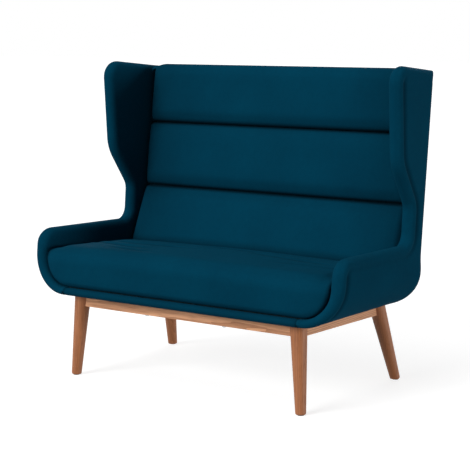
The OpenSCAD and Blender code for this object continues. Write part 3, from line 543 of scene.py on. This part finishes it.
def make_piece(name, parts, body, merge=1e-5, close=False):
    """Joins parts, each points, faces and a share of painted shade, into one smooth closed mesh:
    doubles merged, any open loop closed by one face, and the normals turned outwards."""
    bm = bmesh.new()
    for points, faces, painted_shade in parts:
        mesh = bpy.data.meshes.new(name)
        faces = faces if isinstance(faces, list) else faces.tolist()
        mesh.from_pydata(points.reshape(-1, 3).tolist(), [], faces)
        share = np.broadcast_to(painted_shade, points.shape[:-1]).ravel()
        # The share of painted shade is kept as a point attribute, which the felt reads.
        mesh.attributes.new("painted_shade", "FLOAT", "POINT").data.foreach_set("value", share)
        bm.from_mesh(mesh)
        bpy.data.meshes.remove(mesh)
    bmesh.ops.remove_doubles(bm, verts=bm.verts, dist=merge)
    bmesh.ops.dissolve_degenerate(bm, edges=bm.edges, dist=1e-6)
    if close:
        bmesh.ops.contextual_create(bm, geom=[e for e in bm.edges if e.is_boundary])
    bmesh.ops.recalc_face_normals(bm, faces=bm.faces)
    mesh = bpy.data.meshes.new(name)
    bm.to_mesh(mesh)
    bm.free()
    mesh.polygons.foreach_set("use_smooth", np.ones(len(mesh.polygons), bool))
    piece = bpy.data.objects.new(name, mesh)
    bpy.context.scene.collection.objects.link(piece)
    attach(piece, body)
    return piece


groove_deep, step_deep = 5.2, 1.0
groove_front, groove_back = (23, 36), (39, 58)


def side_piece(name, side):
    """Rings and filled middle for the outer and the inner face, which meet along the rim. Behind the
    roll the outer face steps down 1 mm, and a groove runs along the front between two smoothsteps."""
    y, s = ring_points[..., 0], ring_points[..., 1]
    fy, fs = fill_points[:, 0], fill_points[:, 1]
    front = front_insets[:, None]
    rear = np.interp(ring_share, np.arange(8), rear_share)
    share = np.interp(ring_share, np.arange(8), groove_share) * smooth(30, 130, s)
    turned, seam = corner(y, s)
    face = lesser(roll(front + half_t * rear, s), turned)
    meet = face[0]
    step = smooth(26, 44, front) * (1 - rear) + smooth(40, 74, rear_insets[:, None]) * rear
    groove = share * (smooth(*groove_front, front) - smooth(*groove_back, front))
    dip = -step_deep * step - groove_deep * groove
    folds = wrinkles(y, s) * (front > 12)
    inside = meet + (-1 - meet) * roll(front, s)
    whole, fill_seam = corner(fy, fs)
    whole = lesser(np.ones_like(fs), whole)
    # Painted shade in the groove, in the rear seam's dent and along the front seam under the seat.
    painted_shade = 0.5 * groove - 0.4 * seam + 0.9 * np.exp(-s / 4.0)
    sunk = wrinkles(fy, fs) - step_deep + fill_seam
    quads = grid_faces(*s.shape)
    parts = [
        (place_side((y, s, face, dip + folds + seam), side), quads, painted_shade),
        (place_side((fy, fs, whole, sunk), side), fill_faces, -0.4 * fill_seam),
        (place_side((y, s, inside, np.zeros_like(s)), side), quads, 0),
        (place_side((fy, fs, -np.ones_like(fs), np.zeros_like(fs)), side), fill_faces, 0),
    ]
    piece = make_piece(name, parts, "settee", 2e-5, True)
    wear([piece], felt)
    return piece


for name, side in (("left", -1), ("right", 1)):
    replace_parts(side_piece("padded_side_" + name, side), "side_pad_" + name)


# Front border
# A strip of the same cloth over foam, sewn in between the two side seams. It covers the front edge of
# the seat frame.
def tube_parts(sections, painted_shade=0.0):
    """A closed form from a row of closed sections: quads between them and one face over each end."""
    rows, columns = sections.shape[:2]
    ends = [list(range(columns)), list(range((rows - 1) * columns, rows * columns))]
    return [(sections, grid_faces(rows, columns, True).tolist() + ends, painted_shade)]


def border_piece():
    """A strip as thick as the floor, with a half round front in line with the sides' front edges, drawn
    in by a fifth at both seams and waving 0.5 mm along its length."""
    seam_gap, seam_fade, edge = 0.4, 4.0, 6.0
    x = np.sin(np.linspace(-1, 1, 121) * np.pi / 2) * (seam_x - seam_gap)
    angle = np.linspace(-np.pi / 2, np.pi / 2, 15)
    nose_y = half_floor - half_floor * np.cos(angle)
    nose_z = half_floor + half_floor * np.sin(angle)
    inner = floor_t - edge
    across = np.concatenate([nose_y, [inner, floor_t, floor_t, floor_t, floor_t, inner]])
    up = np.concatenate([nose_z, [floor_t, floor_t, inner, edge, 0, 0]])
    sewn = np.exp(-(seam_x - np.abs(x[:, None])) / seam_fade)
    drawn = 1 - 0.2 * sewn
    wave = 0.5 * np.sin(x / 61.0) * np.sin(x / 23.0 + 1)
    y = half_floor + (across - half_floor) * drawn - wave[:, None] * (across < half_floor)
    y = y - (half_w - seam_x) * np.sin(toe) * (floor_t - y) / floor_t
    z = half_floor + (up - half_floor) * drawn
    points = np.stack([np.broadcast_to(x[:, None], y.shape), y, z], -1)
    # Painted shade: the strip a fifth darker all along, and up to nine tenths darker at both seams.
    piece = make_piece("front_border_strip", tube_parts(to_floor(points), 0.2 + 0.7 * sewn), "settee")
    wear([piece], felt)
    return piece


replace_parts(border_piece(), "front_border")


# Outer back
# One panel of cloth over foam on the board. It turns over the top edge and under the seat, and its side
# edges are sewn to the sides at the rounded rear corners.
def inner_half(y, z):
    """Inner face of a side from the middle: toed in with depth, and curled in below 126 mm."""
    fall = np.clip(floor_t + curl_in_r - np.maximum(z, floor_t), 0, curl_in_r)
    curl_in = curl_in_r - np.sqrt(curl_in_r ** 2 - fall ** 2)
    return half_w - y * np.tan(toe) - (wall_t + curl_in) / np.cos(toe)


def outer_back():
    """A closed section from under the seat, round the tail and up to the crest, and back 9 mm inside,
    carried across the width. Near the side seams it bends forward round the 80 mm corner, its crest
    rounds down, and its top runs forward as a shelf between side and top pad. The padding stands 3 mm
    proud: a cosine across and a sine up, flattened by its power."""
    crest, lip, skin, tail = 797.0, 27.0, 9.0, rear_y(0) - 112.5
    tail_r, crest_r, end_r, shelf_d, puff_d = 45.0, 14.0, 12.0, 44.0, 3.0

    def shape(inset):
        top = crest - inset
        corners = np.array([(tail, inset), (rear_y(0) - inset, inset), (rear_y(crest) - inset, top),
                            (rear_y(crest) - lip, top)])
        radii = np.array([tail_r, crest_r]) - inset
        turned = arcs(corners[:-2], corners[1:-1], corners[2:], radii, 12)
        t = np.linspace(0, 1, 60)[1:-1, None]
        climb = turned[0, -1] + (turned[1, 0] - turned[0, -1]) * t
        return np.concatenate([corners[:1], turned[0], climb, turned[1], corners[3:]])

    section = np.concatenate([shape(0.0), shape(skin)[::-1]])
    t = np.sin(np.linspace(-1, 1, 141) * np.pi / 2)
    y, z = section[:, 0], section[:, 1]
    reach = np.where(z < floor_t, seam_x - y * np.tan(toe), inner_half(y, z)) + 0.6
    x = t[:, None] * reach
    end = reach - np.abs(x)
    shelf = (z > crest - 17) & (y < rear_y(crest) - 20)
    y = y - shelf * shelf_d * (1 - smooth(end_r, 60, end))
    z = z - smooth(740, crest, z) * (end_r - np.sqrt(end_r ** 2 - np.clip(end_r - end, 0, end_r) ** 2))
    near = np.clip(30 - end, 0, 30)
    bend = (rear_corner_r - np.sqrt(rear_corner_r ** 2 - near ** 2)) * smooth(tail, tail + 60, y)
    across, up = np.clip(x / 590, -1, 1), np.clip((z - 60) / 720, 0, 1)
    puff = puff_d * np.cos(np.pi / 2 * across) * np.sin(np.pi * up) ** 0.7
    outside = np.arange(len(section)) < len(section) / 2
    points = np.stack([x, y - bend + puff * outside, np.broadcast_to(z, x.shape)], -1)
    piece = make_piece("outer_back_panel", tube_parts(to_floor(points)), "settee")
    wear([piece], felt)
    return piece


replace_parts(outer_back(), "back_cover")


# Seam tab
# A small blank loop of woven ribbon, folded over and sewn into the seam at the right rear corner. Its
# threads are 1.2 mm wide.
wear([node["seam_tab"]], woven("woven_ribbon", "#0a1020", "#1c2a48", 1.2))


# Back pads
# Three foam pads sewn into one cloth front, with a channel drawn in between them. Each swells to a soft
# crown, and the lowest is thicker at its foot, where it meets the seat cushion.
def vertex_rows(mesh, name):
    """A vertex vector of a mesh, such as co or normal, as rows of three."""
    rows = np.empty(len(mesh.vertices) * 3)
    mesh.vertices.foreach_get(name, rows)
    return rows.reshape(-1, 3)


def even_out(piece, voxel):
    """Remeshes the closed form into even faces."""
    mesh = piece.data
    remesh = piece.modifiers.new("even", "REMESH")
    remesh.mode = "VOXEL"
    remesh.voxel_size = voxel
    even = bpy.data.meshes.new_from_object(piece.evaluated_get(bpy.context.evaluated_depsgraph_get()))
    piece.modifiers.clear()
    piece.data = even
    bpy.data.meshes.remove(mesh)
    even.polygons.foreach_set("use_smooth", np.ones(len(even.polygons), bool))


def swell(piece, cap, shrink):
    """How far the cover stands out under pressure, found on a copy with 13 mm faces: it starts smaller
    by shrink, and cloth pushes it out for 20 frames with gravity off. The sewn edges stay: a point of
    the piece moves along its normal by the copy's rise near it, a mean weighted by a bell curve of the
    distance, 11 mm wide, never inwards and never further out than cap."""
    cover_voxel, spread, frames = 0.013, 0.011, 20
    cover = bpy.data.objects.new("cover", piece.data.copy())
    bpy.context.scene.collection.objects.link(cover)
    even_out(cover, cover_voxel)
    place, normal = vertex_rows(cover.data, "co"), vertex_rows(cover.data, "normal")
    cover.data.vertices.foreach_set("co", (place - normal * shrink).ravel())
    cloth = cover.modifiers.new("swell", "CLOTH")
    cloth.settings.use_pressure = True
    cloth.settings.uniform_pressure_force = 4.0
    cloth.settings.effector_weights.gravity = 0.0
    cloth.settings.quality = 5
    cloth.point_cache.frame_start = 1
    cloth.point_cache.frame_end = frames
    for step in range(1, frames + 1):
        bpy.context.scene.frame_set(step)
    settled = cover.evaluated_get(bpy.context.evaluated_depsgraph_get()).to_mesh()
    rise = ((vertex_rows(settled, "co") - place) * normal).sum(1)
    rise = cap * np.tanh(np.maximum(rise, 0) / cap)
    bpy.data.objects.remove(cover)
    bpy.context.scene.frame_set(1)
    points, outward = vertex_rows(piece.data, "co"), vertex_rows(piece.data, "normal")
    proud = []
    for part in np.array_split(points, len(points) // 500):
        apart = (part ** 2).sum(1)[:, None] + (place ** 2).sum(1) - 2 * part @ place.T
        weight = np.exp(-apart / (2 * spread ** 2))
        proud.append(weight @ rise / weight.sum(1))
    proud = np.concatenate(proud)
    piece.data.vertices.foreach_set("co", (points + outward * proud[:, None]).ravel())


def refine(piece):
    """One subdivision, the same for the view and the render."""
    finer = piece.modifiers.new("finer", "SUBSURF")
    finer.levels = finer.render_levels = 1


def to_shell(points):
    """The frame's metres back to shell millimetres."""
    x, y, z = np.moveaxis(points * 1000.0, -1, 0)
    y, z = y - front_y, z - base_h
    return np.stack([x, y * np.cos(tilt) - z * np.sin(tilt), y * np.sin(tilt) + z * np.cos(tilt)], -1)


def reshape(piece, change):
    """Moves a piece's points by a function of their shell millimetres, which also gives how much
    painted shade each point gets."""
    points, painted_shade = change(to_shell(vertex_rows(piece.data, "co")))
    piece.data.vertices.foreach_set("co", to_floor(points).ravel())
    piece.data.attributes.new("painted_shade", "FLOAT", "POINT").data.foreach_set("value", painted_shade)
    piece.data.update()


# Millimetres: the pads' rear in front of the outer back, their edges, their crown and the lowest pad's
# foot. Then the places of the channels and the top up the back, the half widths, and the gaps to the
# seat's floor, to the sides and at a channel.
pad_back, pad_edge, pad_crown, pad_foot = 25.6, 57.0, 16.0, 155.0
channel_low, channel_high, pad_top = 345.0, 585.0, 806.0
pad_low_half, pad_top_half = 567.0, 556.0
cut_gap, seat_gap, side_gap, channel_gap = 0.3, 0.4, 1.5, 0.1
pad_low_start = (floor_t + cut_gap) / np.cos(recline)


def bulge(t, power):
    """Superellipse: the root of 1 - |t| ^ power."""
    return np.sqrt(np.maximum(1 - np.abs(t) ** power, 0))


def on_back(up, out):
    """Depth and height of a place up the back and forward of its outer face."""
    return (rear_y(0) + up * np.sin(recline) - out * np.cos(recline),
            up * np.cos(recline) + out * np.sin(recline))


def pad_surface(u, v, low, high, foot, out_share=1.0):
    """A pad's face at shares u across and v up: the foam's thickness, crowned across and up, less what
    the channels and the ends draw in, with the corners rounded. The lowest pad reaches the sides, and
    its foot stands level. out_share 0 gives its flat rear on the board."""
    lowest = foot > pad_edge
    lip_in, end_in, end_w = (10, 20, 30) if lowest else (10, 12, 20)
    thickness = foot + (pad_edge - foot) * (v + 1) / 2
    rise = np.where(lowest & (v < 0), 1 - v ** 2, bulge(v, 4))
    lip = 1 - smooth(0, 15, (1 - np.abs(v)) * (high - low) / 2)
    end = 1 - smooth(0, end_w, (1 - np.abs(u)) * 560)
    lip = np.where(lowest & (v < 0), 0, lip)
    crowned = thickness + pad_crown * bulge(u, 8) * rise
    out = pad_back + out_share * (crowned - lip_in * lip ** 2 - end_in * end ** 2)
    up = (low + high) / 2 + v * (high - low) / 2
    drop = out * np.tan(recline) * (1 - v) / 2 if lowest else 0
    y, z = on_back(up - drop, out)
    narrowing = (pad_top_half - pad_low_half) * (up - channel_low) / (pad_top - channel_low)
    rounded = np.where((high == pad_top) & (v > 0), 30 * np.abs(v) ** 16, 0)
    half = pad_low_half + narrowing - 4 * np.abs(v) ** 8 - rounded
    reach = np.minimum(half_w if lowest else half, inner_half(y, z) - side_gap)
    return np.stack([u * reach, y, z], -1)


def pad_piece(name, low, high, foot, voxel=0.0075):
    """The pad's face and its rear as one closed form, swelled as cloth, then held to its own space:
    before the board, above the floor, between its channels and clear of the sides. It gets painted
    shade in the channels, at and towards the ends and, on the lowest pad, low down behind the cushion."""
    v, u = np.sin(np.linspace(-1, 1, 45) * np.pi / 2), np.sin(np.linspace(-1, 1, 121) * np.pi / 2)
    v, u = np.meshgrid(v, u, indexing="ij")
    face = pad_surface(u, v, low, high, foot)
    rear = pad_surface(u, v, low, high, foot, 0.0)
    sections = np.concatenate([face, rear[:, ::-1]], 1)
    piece = make_piece(name, tube_parts(to_floor(sections)), "settee")
    even_out(piece, voxel)
    swell(piece, cap=0.006, shrink=0.003)

    def hold(points):
        x, y, z = np.moveaxis(points, -1, 0)
        up = (y - rear_y(0)) * np.sin(recline) + z * np.cos(recline)
        out = -(y - rear_y(0)) * np.cos(recline) + z * np.sin(recline)
        up = np.clip(up, None if foot > pad_edge else low, high)
        out = np.maximum(out, pad_back)
        y, z = on_back(up, out)
        over = up - low if foot == pad_edge else np.inf
        under = high - up if high < pad_top else np.inf
        lip = np.minimum(over, under)
        # Painted shade at the channels, at and towards the ends, and low on the lowest pad behind the
        # cushion.
        painted_shade = 0.7 * (1 - smooth(0, 12, lip)) + 0.14 * (1 - smooth(0, 60, lip))
        if foot > pad_edge:
            z = np.maximum(z, floor_t + seat_gap)
        reach = inner_half(y, z) - 1.0
        painted_shade = np.maximum(painted_shade, 0.7 * (1 - smooth(2, 14, reach - np.abs(x))))
        painted_shade = np.clip(painted_shade + 0.32 * (1 - smooth(0, 300, reach - np.abs(x))), 0, 0.9)
        painted_shade = np.maximum(painted_shade, 0.6 * (1 - smooth(146, 186, z)) * (foot > pad_edge))
        return np.stack([np.clip(x, -reach, reach), y, z], -1), painted_shade

    reshape(piece, hold)
    refine(piece)
    wear([piece], felt)
    return piece


low_pad = pad_piece("back_pad_low", pad_low_start, channel_low - channel_gap, pad_foot)
mid_pad = pad_piece("back_pad_mid", channel_low + channel_gap, channel_high - channel_gap, pad_edge)
top_pad = pad_piece("back_pad_top", channel_high + channel_gap, pad_top, pad_edge)
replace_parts(low_pad, "back_pad_lower")
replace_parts(mid_pad, "back_pad_middle")
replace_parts(top_pad, "back_pad_upper")


# Seat cushion
# A loose cushion: foam in a sewn cover of the same cloth, crowned on top, rounded over the front edge
# and curled at both ends to the arms. The cover creases a little where it is pulled over the foam.
cushion_half = half_w - wall_t / np.cos(toe) - side_gap
cushion_curl = curl_in_r - 0.75
cushion_t, cushion_crown, cushion_drop, cushion_nose = 134.0, 12.0, 10.0, 48.0


def pad_face_y(u, z):
    """Depth of the lowest pad's face at a share of its half width and a height."""
    v = 2 * (z - floor_t) / (channel_low - floor_t) - 1
    return pad_surface(u, v, pad_low_start, channel_low - 0.5, pad_foot)[..., 1]


def cushion_sections(count):
    """Upright slices from left to right, closer at the ends. Each is a rounded outline: lip, front
    nose, crowned top and a rear that follows the lowest pad. The floor of a slice rises at the ends
    with the curl of the arms, and its top falls there."""
    t = np.linspace(-1, 1, count)
    f = np.sign(t) * (1 - (1 - np.abs(t)) ** 1.7)
    inside = (1 - np.abs(f)) * cushion_half
    fall = np.clip(cushion_curl - inside, 0, None)
    low = floor_t + cut_gap + cushion_curl - np.sqrt(cushion_curl ** 2 - fall ** 2)
    high = floor_t + cushion_t - cushion_drop + cushion_drop * bulge(f, 16)
    high = high + cushion_crown * (1 - f ** 2) / 2
    back = 3 + 16 * np.abs(f) ** 24
    nose = np.minimum(cushion_nose, 0.55 * (high - low))
    lip = np.minimum(24, 0.4 * (high - low))
    a = np.stack([back + 9, low], -1)
    b = np.stack([back, high], -1)
    c = np.stack([pad_face_y(f, high - 16) - 4, high - 16], -1)
    d = np.stack([pad_face_y(f, low) - 4, low], -1)
    front = arcs(a, b, c, nose, 12)
    rear = arcs(b, c, d, lip / 2, 8)
    k = np.linspace(0, 1, 42)[1:-1, None]
    top = front[:, -1:] + (rear[:, :1] - front[:, -1:]) * k
    top[..., 1] += (cushion_crown / 2 * (1 - f ** 2))[:, None] * np.sin(np.pi * k[:, 0])
    foot = arcs(c, d, a, lip / 4, 4)
    k = np.linspace(0, 1, 40)[1:-1, None]
    under = d[:, None] + (a - d)[:, None] * (0.04 + 0.92 * k)
    loop = np.concatenate([arcs(d, a, b, lip, 8), front, top, rear, foot, under], 1)
    x = f[:, None] * (cushion_half - loop[..., 0] * np.tan(toe))
    return np.stack([x, loop[..., 0], loop[..., 1]], -1)


def crease(x, y, start, end, width, depth):
    """A soft fold along a bowed line: a bell curve dip with a lower swell beside it, faded out at both
    ends by smoothsteps."""
    start, end = np.array(start, float), np.array(end, float)
    along = end - start
    length = np.linalg.norm(along)
    along = along / length
    t = ((x - start[0]) * along[0] + (y - start[1]) * along[1]) / length
    off = (x - start[0]) * -along[1] + (y - start[1]) * along[0] + 14 * np.sin(np.pi * t)
    fade = smooth(0, 0.25, t) * (1 - smooth(0.6, 1, t))
    swell_beside = 0.7 * np.exp(-((off - 1.6 * width) / width) ** 2)
    return fade * depth * (swell_beside - np.exp(-(off / width) ** 2))


creases = (((-560, 250), (-190, 150), 12, 6.5), ((-540, 310), (-60, 250), 13, 5.0),
           ((-420, 140), (-120, 90), 12, 3.2), ((40, 330), (520, 250), 16, 3.4),
           ((560, 200), (260, 150), 13, 3.6), ((-180, 380), (330, 360), 16, 3.0))


def cushion_piece():
    """The slices as one closed form, swelled as cloth, then creased on top and held above the deck and
    clear of the arms and the lowest pad. It gets painted shade in the folds and along those edges."""
    piece = make_piece("loose_seat_cushion", tube_parts(to_floor(cushion_sections(101))), "cushion")
    even_out(piece, 0.008)
    swell(piece, cap=0.010, shrink=0.004)

    def finish_form(points):
        x, y, z = np.moveaxis(points, -1, 0)
        upper = smooth(100, 140, z)
        folds = sum(crease(x, y, *line) for line in creases)
        z = np.maximum(z + folds * upper, floor_t + seat_gap)
        reach = inner_half(y, z) - 0.8
        x = np.clip(x, -reach, reach)
        upright_half = inner_half(y, arm_h)
        fall = np.clip(cushion_curl - (upright_half - np.abs(x)), 0, cushion_curl - 1)
        z = np.maximum(z, floor_t + seat_gap + cushion_curl - np.sqrt(cushion_curl ** 2 - fall ** 2))
        pad_y = pad_face_y(np.clip(x / upright_half, -1, 1), np.clip(z, floor_t, channel_low - 5))
        y = np.clip(y, 1.0, pad_y - side_gap)
        # Painted shade in the folds, at the arms and along the lowest pad.
        painted_shade = np.clip(-0.09 * folds * upper, 0, 0.4)
        painted_shade = np.maximum(painted_shade, 0.6 * (1 - smooth(2, 20, inner_half(y, z) - np.abs(x))))
        return np.stack([x, y, z], -1), np.maximum(painted_shade, 0.6 * (1 - smooth(4, 34, pad_y - y)))

    reshape(piece, finish_form)
    refine(piece)
    wear([piece], felt)
    return piece


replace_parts(cushion_piece(), "seat_cushion")


# Studio
# A white floor under soft lights: a broad key from the front, one from above, a low one on the outer
# right side, one from behind and a weak even fill. The floor keeps the shadows at the feet.
def seen_directly(tree):
    """1 for rays from the camera, a mirror or glass, and 0 for rays that light the object."""
    path = add(tree, "ShaderNodeLightPath")
    seen = path.outputs["Is Camera Ray"]
    for ray in ("Is Glossy Ray", "Is Transmission Ray"):
        seen = add(tree, "ShaderNodeMath", {0: seen, 1: path.outputs[ray]},
                   operation="MAXIMUM").outputs[0]
    return seen


def white_floor():
    """A plain plane with a white matt surface, lit to white for the camera and for reflections."""
    mesh = bpy.data.meshes.new("studio_floor")
    corners = np.array([(-1, -1, 0), (1, -1, 0), (1, 1, 0), (-1, 1, 0)]) * 40.0
    mesh.from_pydata(corners.tolist(), [], [(0, 1, 2, 3)])
    floor = bpy.data.objects.new("studio_floor", mesh)
    bpy.context.scene.collection.objects.link(floor)
    material, tree, place = new_material(
        "matt_white_paint", Base_Color=linear("#aaaaaa"), Roughness=1.0, Specular_IOR_Level=0.0)
    glow = add(tree, "ShaderNodeEmission", {"Color": (1, 1, 1, 1), "Strength": 0.78}).outputs[0]
    dark = add(tree, "ShaderNodeEmission", {"Strength": 0.0}).outputs[0]
    extra = add(tree, "ShaderNodeMixShader", {0: seen_directly(tree), 1: dark, 2: glow}).outputs[0]
    paint = tree.nodes["Principled BSDF"].outputs[0]
    both = add(tree, "ShaderNodeAddShader", {0: paint, 1: extra}).outputs[0]
    tree.links.new(both, tree.nodes["Material Output"].inputs["Surface"])
    floor.data.materials.append(material)


white_floor()


def sun(name, source, strength, angle):
    """A soft sun that shines from a place towards the origin."""
    lamp = bpy.data.lights.new(name, "SUN")
    lamp.energy, lamp.angle = strength, np.radians(angle)
    holder = bpy.data.objects.new(name, lamp)
    holder.rotation_euler = Vector(source).to_track_quat("Z", "Y").to_euler()
    bpy.context.scene.collection.objects.link(holder)


sun("key_light", (-0.24, -0.86, 0.42), 2.6, 34)
sun("top_light", (-0.2, -0.3, 1.0), 1.0, 36)
sun("side_light", (0.97, 0.25, 0.06), 1.6, 12)
sun("back_light", (-0.35, 0.9, 0.3), 1.2, 40)

world = bpy.data.worlds.new("studio")
bpy.context.scene.world = world
world.use_nodes = True
sky = world.node_tree
fill = add(sky, "ShaderNodeMapRange", {0: seen_directly(sky), 3: 0.13, 4: 1.0}).outputs[0]
sky.links.new(fill, sky.nodes["Background"].inputs["Strength"])
sky.nodes["Background"].inputs["Color"].default_value = (1, 1, 1, 1)

# The camera stands where the photograph's straight edges and feet place it.
lens = bpy.data.cameras.new("camera")
lens.lens, lens.sensor_width = 108.92, 36.0
camera = bpy.data.objects.new("camera", lens)
camera.location = (2.82896, -4.03459, 1.22465)
camera.rotation_euler = np.radians([81.696, 0, 34.978])
bpy.context.scene.collection.objects.link(camera)
bpy.context.scene.camera = camera
bpy.context.scene.view_settings.view_transform = "Standard"
